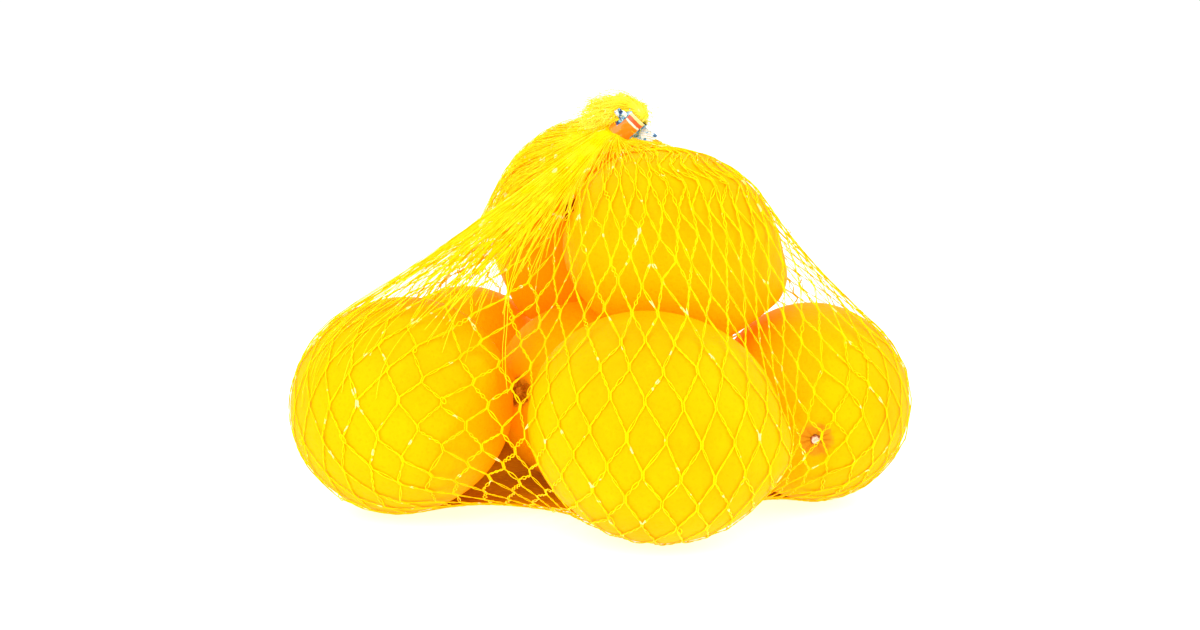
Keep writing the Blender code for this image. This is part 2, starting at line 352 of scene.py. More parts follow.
def makeStem(name, lemon, stem, number):
    axis, side, top = lemonAxes(lemon)
    centre = np.array(lemon["centre"])
    turns = fullTurn(button["around"])
    lobe = 1 + stem["star"] * np.cos(stem["lobes"] * turns + number)
    lobe += button["oval"] * np.cos(2 * turns + number * 2)
    sideWay = np.cos(turns)[:, None] * side + np.sin(turns)[:, None] * top
    points = []
    for ringNow in range(1, button["rings"] + 1):
        part = ringNow / button["rings"]
        reach = stem["size"] * part * (1 + (lobe - 1) * part)
        flat = sideWay * reach[:, None]
        ways = unit(axis * lemonRadius(lemon, axis[None])[0] + flat)
        skin = lemonRadius(lemon, ways) * (ways @ axis)
        dome = (1 - part ** button["round"]) ** 0.5 * button["domed"] if part < 1 else 0
        scar = button["scarHeight"] * np.exp(-((part - stem["scar"]) / button["scarWidth"]) ** 2)
        ripple = button["ripple"] * np.cos(stem["lobes"] * 2 * turns + part * 5) * (1 - part)
        height = skin - button["seat"] + stem["tall"] * (dome + scar + ripple)
        points.append(centre + flat + axis * height[:, None])
    under = points[-1] - axis * button["depth"]
    points.append(under)
    tip = points[0].mean(axis=0)
    middle = tip - axis * stem["tall"] * 0.5
    faces = closedFaces(len(points), button["around"])
    points = np.concatenate(points + [[tip, under.mean(axis=0)]])
    finish = stemFinish("stem_" + name, stem, middle)
    return makePiece("stem_" + name, points, faces, finish)


print("stems")
for number, (name, stem) in enumerate(stems.items()):
    makeStem(name, lemons[name], stem, number)


# a sheet pulled tight over the lemons, then a knitted diamond mesh laid on it
net = dict(
    # the sheet and how it settles
    around=64, rows=52, steps=1500, hoopTop=0.03, hoopBottom=0.9, hoopFrom=0.35, hoopOver=0.25,
    settling=0.8, sag=0.00001, clearance=0.0007, hullRound=0.7, hullEase=0.12, hubEase=0.10,
    # its two ends
    neck=(0.0069, 0.0124, 0.1103), lean=(0.72, -0.20, 0.66), collarRadius=0.0036, collarDrop=0.0046,
    bottom=(0.0050, -0.0061, 0.0), bottomRadius=0.0045, waist=(0.0, 0.0, 0.045),
    # knots and the legs between them
    columns=62, halfRows=30, legUpper=0.0094, legLower=0.0078, lowerFrom=0.4, lowerOver=0.12, legSpread=0.04,
    rowShift=2.0, rowShiftAt=45, evenings=500, pull=0.5, push=0.05, idle=0.3, haste=0.9, farthest=0.3,
    neckRows=4, evenness=0.22, uneven=0.00035, knotClear=0.0005, seed=11,
    # two filaments to a cord, twisted so that they open into eyes
    filamentWidth=0.00035, filamentThick=0.00020, widthSpread=0.15, knotLength=0.0021, knotSpread=0.25,
    knotGap=0.00024, pairGap=0.00012, eyes=(1, 2, 3), eyeShares=(0.30, 0.45, 0.25), eyeLow=0.00010,
    eyeHigh=0.00042, eyeRound=0.7, slackAtRest=2.4, slackLoss=1.5, slackRange=(0.5, 2.0), untwist=0.35,
    samples=7, overlap=0.55, offLemon=0.00022, offFloor=0.00034,
    # glow: painted light, the strands give off their own colour so that those in shade stay bright
    wobble=0.12, glow=0.13, shine=0.03, glintFrom=0.65, glint=(1.0, 0.92, 0.36),
)
neckCentre = np.array(net["neck"])
neckLean = unit(net["lean"])
neckForward = unit(np.cross(neckLean, right))
neckSide = np.cross(neckForward, neckLean)


def offLemons(points, gap, sideways=None):
    # moves points out of the lemons, within their own upright plane where one is given
    for lemon in lemons.values():
        centre = np.array(lemon["centre"])
        offset = points - centre
        distance = np.linalg.norm(offset, axis=-1, keepdims=True)
        if sideways is None:
            near = distance[..., 0] < lemon["along"] * 0.6
            offset, distance = offset[near], distance[near]
        reach = lemonRadius(lemon, offset / distance, False)[..., None] + gap
        if sideways is None:
            points = points.copy()
            points[near] = np.where(distance < reach, centre + offset / distance * reach, points[near])
            continue
        offPlane = (offset * sideways).sum(axis=-1, keepdims=True)
        inPlane = offset - offPlane * sideways
        sliceRadius = np.sqrt(np.maximum(reach**2 - offPlane**2, 0))
        length = np.linalg.norm(inPlane, axis=-1, keepdims=True)
        grow = np.where(distance < reach, np.maximum(sliceRadius / length - 1, 0), 0)
        points = points + inPlane * grow
    return points


def fadeIn(value, over):
    return np.clip(value / over, 0, 1)


def ring(centre, side, forward, radius):
    turns = fullTurn(net["around"])[:, None]
    return centre + (np.cos(turns) * side + np.sin(turns) * forward) * radius


def makeSheet():
    collar = ring(neckCentre - neckLean * net["collarDrop"], neckSide, neckForward, net["collarRadius"])
    bottom = ring(np.array(net["bottom"]), right, back, net["bottomRadius"])
    centres = np.array([lemon["centre"] for lemon in lemons.values()])
    middle = (centres.max(axis=0) + centres.min(axis=0)) / 2
    longest = max(lemon["along"] for lemon in lemons.values())
    half = (centres.max(axis=0) - centres.min(axis=0)) / 2 + longest / 2
    turns = fullTurn(net["around"])
    part = np.arange(net["rows"] + 1)[:, None, None] / net["rows"]
    width = np.maximum(np.sin(np.pi * part), 0) ** net["hullRound"]
    height = np.maximum(middle[2] + half[2] * np.cos(np.pi * part), 0)
    oval = np.stack([half[0] * np.cos(turns), half[1] * np.sin(turns), 0 * turns], axis=1)[None]
    hull = np.array([middle[0], middle[1], 0]) + oval * width + height * up
    keep = fadeIn(part, net["hullEase"]) * fadeIn(1 - part, net["hullEase"])
    sheet = np.where(part < 0.5, collar, bottom) * (1 - keep) + hull * keep
    part = part[1:-1]
    lower = fadeIn(part - net["hoopFrom"], net["hoopOver"])
    hoopwise = net["hoopTop"] + (net["hoopBottom"] - net["hoopTop"]) * lower
    hold = fadeIn(part, net["hubEase"])
    hub = sheet[0].mean(axis=0) * (1 - part) + np.array(net["bottom"]) * part
    outward = unit(oval[0])
    sideways = np.stack([-outward[:, 1], outward[:, 0], 0 * turns], axis=1)[None]
    for step in range(net["steps"]):
        along = (sheet[:-2] + sheet[2:]) / 2
        inner = sheet[1:-1]
        hoop = (np.roll(inner, 1, axis=1) + np.roll(inner, -1, axis=1)) / 2
        goal = (along + hoopwise * hoop) / (1 + hoopwise)
        inner = inner + (goal - inner) * net["settling"]
        inner = inner - ((inner - hub) * sideways).sum(axis=-1, keepdims=True) * sideways * hold
        inner[..., 2] -= net["sag"]
        inner = offLemons(inner, net["clearance"], sideways)
        inner[..., 2] = np.maximum(inner[..., 2], 0)
        sheet[1:-1] = inner
    return sheet


def onSheet(sheet, u, v):
    # a point of the sheet and its two slopes, from its column and row numbers
    around, rows = net["around"], net["rows"]
    v = np.clip(v, 0, rows - 1e-6)
    i, j = np.floor(u).astype(int) % around, np.floor(v).astype(int)
    beyond = (i + 1) % around
    fu, fv = (u - np.floor(u))[..., None], (v - j)[..., None]
    a, b, c, d = sheet[j, i], sheet[j, beyond], sheet[j + 1, i], sheet[j + 1, beyond]
    point = (a * (1 - fu) + b * fu) * (1 - fv) + (c * (1 - fu) + d * fu) * fv
    return point, (b - a) * (1 - fv) + (d - c) * fv, (c - a) * (1 - fu) + (d - b) * fu


def outOfSheet(points, uWay, vWay):
    facing = unit(np.cross(vWay, uWay))
    return facing * np.sign((facing * (points - np.array(net["waist"]))).sum(axis=-1, keepdims=True))


def layKnots(sheet):
    # spreads the knots over the sheet until every leg is near its own length and the rows run smoothly
    chance = np.random.default_rng(net["seed"])
    around, rows, columns, halfRows = net["around"], net["rows"], net["columns"], net["halfRows"]
    spare = math.ceil(net["rowShift"]) + 1
    order = np.arange(halfRows + 2 * spare + 1) - spare
    u = (np.arange(columns)[None] + (order[:, None] % 2) / 2) * around / columns
    turn = u / around * 2 * np.pi
    swallowed = net["rowShift"] * np.cos(2 * (turn - np.radians(net["rowShiftAt"])))
    share = (order[:, None] - swallowed) / (halfRows - swallowed)
    free = (share > 0) & (share < 1)
    low = fadeIn(share - net["lowerFrom"], net["lowerOver"])
    legs = net["legUpper"] * (1 - low) + net["legLower"] * low
    legs = [legs * (1 + chance.uniform(-net["legSpread"], net["legSpread"], u.shape)) for _ in range(2)]
    arc = np.vstack([np.zeros(around), np.linalg.norm(np.diff(sheet, axis=0), axis=-1).cumsum(axis=0)])
    ratio, start = net["legLower"] / net["legUpper"], net["lowerFrom"]
    share = np.clip(share, 0, 1)
    travelled = np.minimum(share, start) + np.maximum(share - start, 0) * ratio
    share = travelled / (start + (1 - start) * ratio)
    v = np.zeros_like(u)
    for j, i in np.ndindex(*u.shape):
        whole = int(u[j, i]) % around
        part = u[j, i] % 1
        column = arc[:, whole] * (1 - part) + arc[:, (whole + 1) % around] * part
        v[j, i] = np.interp(share[j, i] * column[-1], column, np.arange(rows + 1))

    def evener(values, whole):
        before, after = np.roll(values, 1, axis=1), np.roll(values, -1, axis=1)
        before[:, 0] -= whole
        after[:, -1] += whole
        change = (before + after) / 2 - values
        change[2:-2] += (values[:-4] + values[4:]) / 2 - values[2:-2]
        return change / 2

    for step in range(net["evenings"]):
        points, uWay, vWay = onSheet(sheet, u, v)
        points = offLemons(points, net["knotClear"])
        pull, weight = np.zeros_like(points), np.full(u.shape, net["idle"])
        for j in range(len(order) - 1):
            odd = order[j] % 2
            for family in (0, 1):
                to = np.roll(np.arange(columns), -odd if family == 0 else 1 - odd)
                gap = points[j + 1][to] - points[j]
                length = np.linalg.norm(gap, axis=-1) + 1e-9
                force = np.where(length > legs[family][j], net["pull"], net["push"])
                force = force * (free[j] | free[j + 1][to])
                tug = (force * (length - legs[family][j]) / length)[:, None] * gap
                pull[j] += tug
                weight[j] += force
                pull[j + 1][to] -= tug
                weight[j + 1][to] += force
        pull = pull / np.maximum(weight - net["idle"], net["idle"])[..., None] * net["haste"]
        uu, vv, uv = (uWay**2).sum(-1) + 1e-9, (vWay**2).sum(-1) + 1e-9, (uWay * vWay).sum(-1)
        uPull, vPull = (pull * uWay).sum(-1), (pull * vWay).sum(-1)
        size = np.maximum(uu * vv - uv**2, 1e-14)
        most = net["farthest"]
        du = np.clip((uPull * vv - vPull * uv) / size, -most, most) + net["evenness"] * evener(u, around)
        dv = np.clip((vPull * uu - uPull * uv) / size, -most, most) + net["evenness"] * evener(v, 0)
        u = u + du * free * fadeIn(v, net["neckRows"])
        v = np.clip(v + dv * free, 0, rows)
    points, uWay, vWay = onSheet(sheet, u, v)
    facing, down = outOfSheet(points, uWay, vWay), unit(vWay)
    loose = chance.normal(size=u.shape)[..., None] * unit(uWay)
    loose = loose + chance.normal(size=u.shape)[..., None] * down
    points = points + loose * net["uneven"] * free[..., None]
    return offLemons(points, net["knotClear"]), facing, down, unit(uWay), free, order


class Strand:
    # gathers flat filaments, each a line of four-cornered sections, into one mesh
    def __init__(self):
        self.points = []
        self.faces = []
        self.count = 0

    def add(self, line, side, facing, halfWidth, halfThick, closed=False):
        size = len(line)
        wide = side * np.broadcast_to(halfWidth, size)[:, None]
        thick = facing * np.broadcast_to(halfThick, size)[:, None]
        corners = np.stack([line + wide, line + thick, line - wide, line - thick], axis=1)
        self.points.append(corners.reshape(-1, 3))
        steps = np.arange(size if closed else size - 1)
        a = (self.count + steps * 4)[:, None] + np.arange(4)[None]
        b = (self.count + steps * 4)[:, None] + (np.arange(4)[None] + 1) % 4
        far = ((steps + 1) % size - steps)[:, None] * 4
        self.faces.append(np.stack([a, a + far, b + far, b], axis=-1).reshape(-1, 4))
        if not closed:
            last = self.count + (size - 1) * 4
            ends = [[self.count + k for k in (0, 1, 2, 3)], [last + k for k in (3, 2, 1, 0)]]
            self.faces.append(np.array(ends))
        self.count += size * 4

    def finish(self, name, finish, slotName):
        points = np.concatenate(self.points)
        return makePiece(name, points, np.concatenate(self.faces).tolist(), finish)


def smoothLine(stops, count):
    # an even run of points on a soft curve through the stops
    stops = np.asarray(stops)
    padded = np.vstack([2 * stops[0] - stops[1], stops, 2 * stops[-1] - stops[-2]])
    places = np.linspace(0, len(stops) - 1 - 1e-9, count)
    i = np.floor(places).astype(int)
    t = (places - i)[:, None]
    a, b, c, d = padded[i], padded[i + 1], padded[i + 2], padded[i + 3]
    return 0.5 * (2 * b + (c - a) * t + (2 * a - 5 * b + 4 * c - d) * t**2 + (3 * b - a - 3 * c + d) * t**3)


def across(line, facing):
    along = np.gradient(line, axis=0)
    side = unit(np.cross(along, facing))
    return side, unit(np.cross(side, along))


def knitLines(points, facing, down, side, free, order):
    # every column of the net is two zigzag cords that meet their neighbours at the knots, each of two filaments
    chance = np.random.default_rng(net["seed"] + 1)
    knotRange = (1 - net["knotSpread"], 1 + net["knotSpread"])
    widthRange = (1 - net["widthSpread"], 1 + net["widthSpread"])
    columns = net["columns"]
    lines = []
    for column in range(columns):
        for family in (0, 1):
            odd = order % 2
            at = np.where(odd == 1, column - family, column) % columns
            rows = np.nonzero(free[np.arange(len(order)), at])[0]
            rows = np.arange(rows[0] - 1, rows[-1] + 2)
            at = at[rows]
            lean = np.where(odd[rows] == 1, -1, 1) * (1 if family == 0 else -1)
            place, out, fall = points[rows, at], facing[rows, at], down[rows, at]
            place = place + side[rows, at] * (lean * net["knotGap"])[:, None]
            half = fall * net["knotLength"] / 2 * chance.uniform(*knotRange, (len(rows), 1))
            half[0] = half[-1] = 0
            centre, normal, turn, spread = [], [], [], []
            angle = np.pi / 2
            for k in range(len(rows) - 1):
                eyes = chance.choice(net["eyes"], p=net["eyeShares"])
                t = np.linspace(0, 1, net["samples"])
                start, end = place[k] + half[k], place[k + 1] - half[k + 1]
                centre.append(start + (end - start) * t[:, None])
                normal.append(out[k] + (out[k + 1] - out[k]) * t[:, None])
                stretch = np.linalg.norm(end - start) / (net["legUpper"] - net["knotLength"])
                slack = np.clip(net["slackAtRest"] - net["slackLoss"] * stretch, *net["slackRange"])
                eye = chance.uniform(net["eyeLow"], net["eyeHigh"]) * slack
                spread.append(net["pairGap"] + eye * np.sin(np.pi * t) ** net["eyeRound"])
                turn.append(angle + eyes * np.pi * t)
                angle = angle + eyes * np.pi + chance.normal() * net["untwist"]
            centre, normal = np.concatenate(centre), unit(np.concatenate(normal))
            turn, spread = np.concatenate(turn), np.concatenate(spread)
            sideWay = across(centre, normal)[0]
            climb = net["filamentThick"] * net["overlap"]
            for filament in (1, -1):
                line = centre + sideWay * (filament * spread * np.cos(turn))[:, None]
                lift = climb * filament * np.sin(turn)
                lines.append(dict(
                    column=column, line=line + normal * lift[:, None], normal=normal, rise=lift + climb,
                    width=net["filamentWidth"] / 2 * chance.uniform(*widthRange), chance=chance.random(),
                ))
    whole = np.concatenate([one["line"] for one in lines])
    gaps = np.concatenate([one["rise"] for one in lines]) + net["offLemon"]
    whole = clearOfLemons(whole, gaps)
    whole[:, 2] = np.maximum(whole[:, 2], net["offFloor"])
    used = 0
    for one in lines:
        size = len(one["line"])
        one["line"] = whole[used:used + size]
        used += size
    return lines


def clearOfLemons(points, gaps):
    # moves points straight out of the uneven skins, each to its own clearance
    for lemon in lemons.values():
        centre = np.array(lemon["centre"])
        offset = points - centre
        distance = np.linalg.norm(offset, axis=-1)
        near = distance < lemon["along"] * 0.56
        ways = offset[near] / distance[near][:, None]
        reach = np.maximum(lemonRadius(lemon, ways) + gaps[near], distance[near])
        points[near] = centre + ways * reach[:, None]
    return points


def strandFinish(name, darker, lighter):
    finish = Finish(name, Specular_IOR_Level=net["shine"], Emission_Strength=net["glow"])
    place = finish.place()
    drawn = finish.noise(place, 180, 2)
    fine = finish.noise(place, 2600, 2, 0.6)
    # painted highlights: pale yellow dashes, set by glintFrom and glint, mixed into the strands' colour where a
    # noise runs high
    glint = finish.between(finish.noise(place, 260, 2), net["glintFrom"], net["glintFrom"] + 0.05)
    colour = finish.mix(finish.between(drawn, 0.3, 0.7), darker, lighter)
    colour = finish.mix(glint * 0.8, colour, net["glint"])
    finish.feed("Base Color", colour)
    # painted light: the strands glow with their own colour
    finish.feed("Emission Color", colour)
    finish.feed("Roughness", 0.24 + fine * 0.22)
    finish.bump(fine, 0.3, 0.00006)
    return finish.material


def makeNet():
    print("net: sheet")
    sheet = makeSheet()
    print("net: knots")
    laid = layKnots(sheet)
    print("net: strands")
    lines = knitLines(*laid)
    yellow = strandFinish("net_yellow", (1.0, 0.60, 0.0), (1.0, 0.69, 0.0))
    frayed = strandFinish("net_frayed", (1.0, 0.78, 0.02), (1.0, 0.88, 0.08))
    sectors = [("net_back", 0, 21), ("net_left", 21, 42), ("net_front", 42, net["columns"])]
    pieces = []
    for name, first, last in sectors:
        strand = Strand()
        for one in lines:
            if first <= one["column"] < last:
                side, facing = across(one["line"], one["normal"])
                wobble = 1 + net["wobble"] * np.sin(np.arange(len(side)) * 1.7 + one["chance"] * 20)
                strand.add(one["line"], side, facing, one["width"] * wobble, net["filamentThick"] / 2)
        pieces.append(strand.finish(name, yellow, "net_strand"))
    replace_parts(pieces[2], "net_bag")
    makeLoops(laid, yellow)
    makeGather(sheet, strandFinish("net_folds", (1.0, 0.69, 0.0), (1.0, 0.78, 0.01)))
    makeUnder(sheet)
    makeNeck(lines, yellow, frayed)


snags = dict(
    count=90, samples=16, above=0.006, longHalf=(0.0009, 0.0016), shortHalf=(0.0004, 0.0008), tilt=0.9,
    shift=0.001, lift=0.0004, liftWave=0.0003, clear=0.0004, halfWide=0.00019, halfThick=0.00010, seed=5,
)


def makeLoops(laid, finish):
    # slack bights of filament that stand out beside some knots
    points, facing, down, side, free = laid[:5]
    chance = np.random.default_rng(snags["seed"])
    spots = np.argwhere(free & (points[..., 2] > snags["above"]))
    turns = fullTurn(snags["samples"])
    strand = Strand()
    for j, i in spots[chance.choice(len(spots), snags["count"], replace=False)]:
        long = chance.uniform(*snags["longHalf"])
        short = chance.uniform(*snags["shortHalf"])
        tilt = chance.uniform(-snags["tilt"], snags["tilt"])
        way = down[j, i] * np.cos(tilt) + side[j, i] * np.sin(tilt)
        cross = unit(np.cross(way, facing[j, i]))
        middle = points[j, i] + cross * short * chance.choice([-1, 1])
        middle = middle + way * chance.uniform(-snags["shift"], snags["shift"])
        loop = middle + np.cos(turns)[:, None] * way * long + np.sin(turns)[:, None] * cross * short
        loop = loop + facing[j, i] * (snags["lift"] + snags["liftWave"] * np.sin(turns + 1))[:, None]
        loop = clearOfLemons(loop, np.full(len(loop), snags["clear"]))
        loop[:, 2] = np.maximum(loop[:, 2], net["offFloor"])
        along = unit(np.roll(loop, -1, axis=0) - np.roll(loop, 1, axis=0))
        edge = unit(np.cross(along, np.broadcast_to(facing[j, i], loop.shape)))
        strand.add(loop, edge, unit(np.cross(edge, along)), snags["halfWide"], snags["halfThick"], closed=True)
    strand.finish("net_snags", finish, "net_strand")


gather = dict(
    count=1150, leftShare=0.76, leftFrom=96, leftTo=247, easeIn=25, easeOut=30, fanFrom=205,
    short=5.5, middling=12.5, long=19, least=0.3, first=0.4, drift=2.2, rootRise=1.5, finer=1.5, tapered=0.6,
    liftLow=0.0002, liftHigh=0.0011, clear=0.00030, halfWide=(0.00011, 0.00021), halfThick=0.00008, seed=31,
)


def aroundNeck(angle):
    return neckSide * math.cos(angle) + neckForward * math.sin(angle)


def neckAngle(point):
    flat = point - neckCentre
    return math.atan2(flat @ neckForward, flat @ neckSide)


def makeGather(sheet, finish):
    # folds of the same net that run straight down from the neck, most of them on the left
    chance = np.random.default_rng(gather["seed"])
    strand = Strand()
    for fold in range(gather["count"]):
        turn = chance.uniform(0, 360)
        if chance.random() < gather["leftShare"]:
            turn = chance.uniform(gather["leftFrom"], gather["leftTo"])
        easeIn = max((turn - gather["leftFrom"]) / gather["easeIn"], 0)
        easeOut = max((gather["leftTo"] - turn) / gather["easeOut"], 0)
        furthest = gather["long"] if turn > gather["fanFrom"] else gather["middling"]
        reach = gather["short"] + (furthest - gather["short"]) * min(easeIn, easeOut, 1)
        reach = chance.uniform(gather["least"], 1) * reach
        v = np.linspace(gather["first"], reach, 5 + int(reach))
        u = turn / 360 * net["around"] + chance.normal() * gather["drift"] * v / gather["long"]
        points, uWay, vWay = onSheet(sheet, u, v)
        facing = outOfSheet(points, uWay, vWay)
        lift = chance.uniform(gather["liftLow"], gather["liftHigh"])
        points = points + facing * (lift * np.minimum(1, (reach - v + 0.3) / gather["rootRise"]))[:, None]
        out = aroundNeck(neckAngle(points[0]))
        packed = out * tuft["packed"]
        inside = [neckCentre + packed * 0.8, neckCentre + packed * 0.95 - neckLean * tuft["band"]]
        line = smoothLine(inside + list(points), int(gather["finer"] * len(points)))
        away = np.concatenate([[out], facing])[np.linspace(0, len(facing), len(line)).astype(int)]
        line = clearOfLemons(line, np.full(len(line), gather["clear"]))
        side, normal = across(line, away)
        half = chance.uniform(*gather["halfWide"]) * np.linspace(1, gather["tapered"], len(line))
        strand.add(line, side, normal, half, gather["halfThick"])
    strand.finish("net_gather", finish, "net_strand")


# The sheet under the fruit is partly real, standing for the gathered layers of net, and partly painted shade: it
# is solid and darker than the net's yellow, so it stands for the shadowed floor seen through the mesh.
under = dict(
    height=0.0022, leftBack=0.0125, leftBackAt=150, leftBackSpread=38, lift=0.00050, ripple=0.00008,
    around=192, steps=14, thick=0.00010, inner=(0.6, 0.25, 0.03),
    dark=(0.62, 0.34, 0.0), shadedBrown=(0.70, 0.41, 0.0), fibre=(0.92, 0.56, 0.0),
)


def underShadeFinish():
    finish = Finish("net_layers_painted_shade", Roughness=0.7, Specular_IOR_Level=0.02)
    place = finish.place()
    broad = finish.noise(place, 90, 3, 0.6)
    fibre = finish.noise(finish.vector("MULTIPLY", place, (1, 6, 1)), 420, 3, 0.6)
    # dark and brown: the net's yellow darkened into painted shade
    colour = finish.mix(finish.between(broad, 0.3, 0.7), under["dark"], under["shadedBrown"])
    colour = finish.mix(finish.between(fibre, 0.5, 0.62) * 0.6, colour, under["fibre"])
    finish.feed("Base Color", colour)
    finish.bump(fibre, 0.5, 0.0002)
    return finish.material


def makeUnder(sheet):
    # the layers of net that are gathered flat beneath the fruit, made as one solid sheet darker than the net,
    # which is also painted shade for the floor in shadow under the bag
    last = len(sheet) - 1
    rim = []
    for column in range(net["around"]):
        away = column / net["around"] * 360 - under["leftBackAt"]
        height = under["height"] + under["leftBack"] * math.exp(-(away / under["leftBackSpread"]) ** 2)
        rim.append(np.nonzero(sheet[:, column, 2] > height)[0].max() + 0.5)
    u = np.arange(under["around"]) * net["around"] / under["around"]
    start = np.interp(u, np.arange(net["around"] + 1), rim + rim[:1])
    grid = []
    for part in np.linspace(0, 1, under["steps"]):
        grid.append(onSheet(sheet, u, start + (last - start) * part)[0])
    for share in under["inner"]:
        grid.append(net["bottom"] + (grid[under["steps"] - 1] - net["bottom"]) * share)
    grid = np.array(grid)
    swell = np.sin(grid[..., 0] * 900) * np.cos(grid[..., 1] * 700) * under["ripple"]
    grid[..., 2] = np.maximum(grid[..., 2], 0) + under["lift"] + swell
    sheetSolid("net_under", grid, under["thick"], underShadeFinish(), closed=True)


tuft = dict(
    centre=(0.0028, 0.0160, 0.1122), reach=(0.0108, 0.0060, 0.0066), lowest=-0.55, highest=1.45,
    packed=0.00225, band=0.0034, stray=0.15, spread=0.6, copies=3, fray=0.30, tucked=(0.70, 1.02),
    loose=(1.0, 1.30), lumps=0.13, arch=0.0013, unruly=0.0006, hooked=0.0008, samples=13,
    frayedHalf=0.00009, foldHalf=0.00019, seed=23,
    stalkSamples=14, stalkHalf=0.00020, stalkThick=0.00010, stalkSpread=1.2, stalkEnd=0.0054,
    wisps=140, wispSize=(0.0006, 0.0016), wispTurn=(2.5, 5.5), wispSamples=12, wispHalf=0.00014, wispThick=0.00008,
)


def bearing(around, lift):
    return np.array([math.cos(around) * math.cos(lift), math.sin(around) * math.cos(lift), math.sin(lift)])


def makeNeck(lines, finish, frayedFinish):
    # the strands packed through the tape, then their cut ends standing above it as a mop
    chance = np.random.default_rng(tuft["seed"])
    mopCentre, mopReach, samples = np.array(tuft["centre"]), np.array(tuft["reach"]), tuft["samples"]
    strand, mop = Strand(), Strand()
    for one in lines:
        start, second = one["line"][0], one["line"][1]
        angle = neckAngle(start) + chance.normal() * tuft["stray"]
        reach = tuft["packed"] * math.sqrt(chance.uniform(0.02, 1))
        out = aroundNeck(angle)
        stops = [second, start]
        stops += [neckCentre + out * reach + neckLean * s for s in (-tuft["band"], 0.0, tuft["band"])]
        line = smoothLine(stops, tuft["stalkSamples"])
        onAxis = neckCentre + neckLean * ((line - neckCentre) @ neckLean)[:, None]
        side, facing = across(line, unit(line - onAxis + out * 1e-5))
        strand.add(line, side, facing, tuft["stalkHalf"], tuft["stalkThick"])
        top = neckCentre + out * reach * tuft["stalkSpread"] + neckLean * tuft["stalkEnd"] + up * tuft["unruly"]
        for copy in range(tuft["copies"]):
            around = angle + chance.normal() * tuft["spread"]
            lift = chance.uniform(tuft["lowest"], tuft["highest"])
            frayed = chance.random() < tuft["fray"]
            reached = chance.uniform(*(tuft["loose"] if frayed else tuft["tucked"]))
            reached *= 1 + tuft["lumps"] * math.sin(3 * around + 1) * math.sin(4 * lift)
            tip = mopCentre + mopReach * bearing(around, lift) * reached
            bend = (top + tip) / 2 + up * tuft["arch"] + chance.normal(size=3) * tuft["unruly"]
            hook = tip + chance.normal(size=3) * tuft["hooked"] - up * 0.0004
            line = smoothLine([stops[-1], top, bend, tip, hook], samples)
            side, facing = across(line, unit(line - mopCentre + up * 0.001))
            half = (tuft["frayedHalf"] if frayed else tuft["foldHalf"]) * chance.uniform(0.7, 1.1)
            mop.add(line, side, facing, half * np.linspace(1, 0.6, samples), half * 0.45)
    for number in range(tuft["wisps"]):
        around, lift = chance.uniform(0, 2 * math.pi), chance.uniform(-0.3, 1.4)
        middle = mopCentre + mopReach * bearing(around, lift) * chance.uniform(0.7, 1.0)
        size = chance.uniform(*tuft["wispSize"])
        one, two = unit(chance.normal(size=3)), unit(chance.normal(size=3))
        turns = np.linspace(0, chance.uniform(*tuft["wispTurn"]), tuft["wispSamples"])[:, None]
        line = middle + (np.cos(turns) * one + np.sin(turns) * two) * size
        side, facing = across(line, unit(line - mopCentre))
        mop.add(line, side, facing, tuft["wispHalf"], tuft["wispThick"])
    strand.finish("net_neck", finish, "net_strand")
    mop.finish("net_tuft", frayedFinish, "net_strand")


print("net")
makeNet()


tape = dict(
    width=0.0088, radius=0.00380, deep=0.00330, thick=0.00013, wrinkle=0.00010, around=96, along=27, seed=41,
    # lineFrom and coralFrom place a painted highlight (cream) and painted shade (coral) across the top of the band
    corners=3, cornered=0.93, flare=0.05, lineFrom=0.00155, coralFrom=0.00220, goldFrom=0.00345, soft=0.00010,
    inkedBeside=0.00260, inkedAlong=-0.0020, ragged=0.0005,
    orange=(0.90, 0.25, 0.01), flushed=(0.98, 0.42, 0.20), coral=(0.86, 0.12, 0.04), cream=(0.98, 0.93, 0.86),
    gold=(0.95, 0.80, 0.35), navy=(0.012, 0.05, 0.20), cyan=(0.16, 0.55, 0.86), pale=(0.62, 0.78, 0.93),
)
film = dict(
    samples=(30, 22), thick=0.8, ragged=0.05, crumple=0.00042, pinned=3,
    clear=(0.93, 0.95, 0.97), violet=(0.90, 0.74, 0.90), green=(0.78, 0.93, 0.74),
)


def tapeFinish():
    finish = Finish("tape_print", Roughness=0.28, Specular_IOR_Level=0.4, Coat_Weight=0.5, Coat_Roughness=0.1)
    place = finish.place(tuple(-part for part in neckCentre))
    ragged = (finish.noise(place, 900, 3) - 0.5) * tape["ragged"]
    along = finish.vector("DOT_PRODUCT", place, tuple(neckLean), output=1) + ragged
    beside = finish.maths("ABSOLUTE", finish.vector("DOT_PRODUCT", place, tuple(neckSide), output=1) + ragged)
    patchy = finish.noise(place, 420, 3, 0.6)
    colour = finish.mix(finish.between(patchy, 0.56, 0.68) * 0.55, tape["orange"], tape["flushed"])
    # the cream line is a painted highlight that stands for a fold in the film, and the coral band past it is the
    # film beyond the fold in painted shade; then comes a gold band
    for edge, stripe in (("lineFrom", "cream"), ("coralFrom", "coral"), ("goldFrom", "gold")):
        start = tape[edge]
        colour = finish.mix(finish.between(along, start, start + tape["soft"]), colour, tape[stripe])
    edge = finish.between(beside, tape["inkedBeside"], tape["inkedBeside"] + tape["soft"])
    edge = edge * finish.between(along, tape["inkedAlong"], tape["inkedAlong"] + 4 * tape["soft"])
    inks = finish.mix(finish.between(patchy, 0.46, 0.50), tape["navy"], tape["cyan"])
    inks = finish.mix(finish.between(patchy, 0.58, 0.62), inks, tape["pale"])
    colour = finish.mix(edge, colour, inks)
    finish.feed("Base Color", colour)
    finish.feed("Roughness", 0.2 + patchy * 0.25)
    finish.bump(finish.noise(place, 1400, 3), 0.4, 0.00008)
    return finish.material


